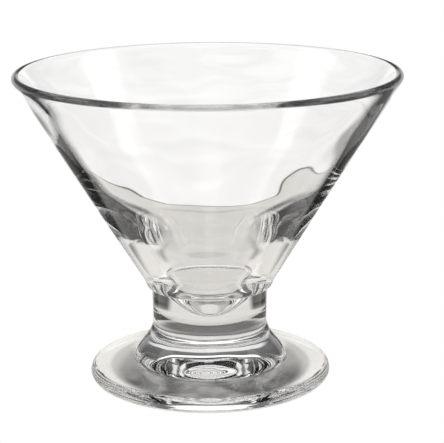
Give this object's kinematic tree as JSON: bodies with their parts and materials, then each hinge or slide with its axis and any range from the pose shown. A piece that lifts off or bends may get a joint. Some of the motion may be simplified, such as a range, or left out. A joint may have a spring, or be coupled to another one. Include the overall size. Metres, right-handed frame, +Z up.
{
  "type": "ice cream glass",
  "caption": "Clear footed glass for ice cream: a wide cone-shaped bowl with a rounded rim on a short thick stem and a round foot.",
  "frame": {"origin": "on the glass's axis, level with the flat ring under the foot that it stands on", "axes": "+Z up along the glass's axis, out of the open bowl; X and Y level, with the picture taken from the -Y side"},
  "size_m": [0.11, 0.11, 0.09],
  "materials": {
    "bowl_glass": "clear, fire-polished",
    "stem_glass": "clear, fire-polished",
    "foot_glass": "clear, fire-polished"
  },
  "bodies": {
    "root": {"bowl": "bowl_glass", "stem": "stem_glass", "foot": "foot_glass"}
  },
  "joints": []
}
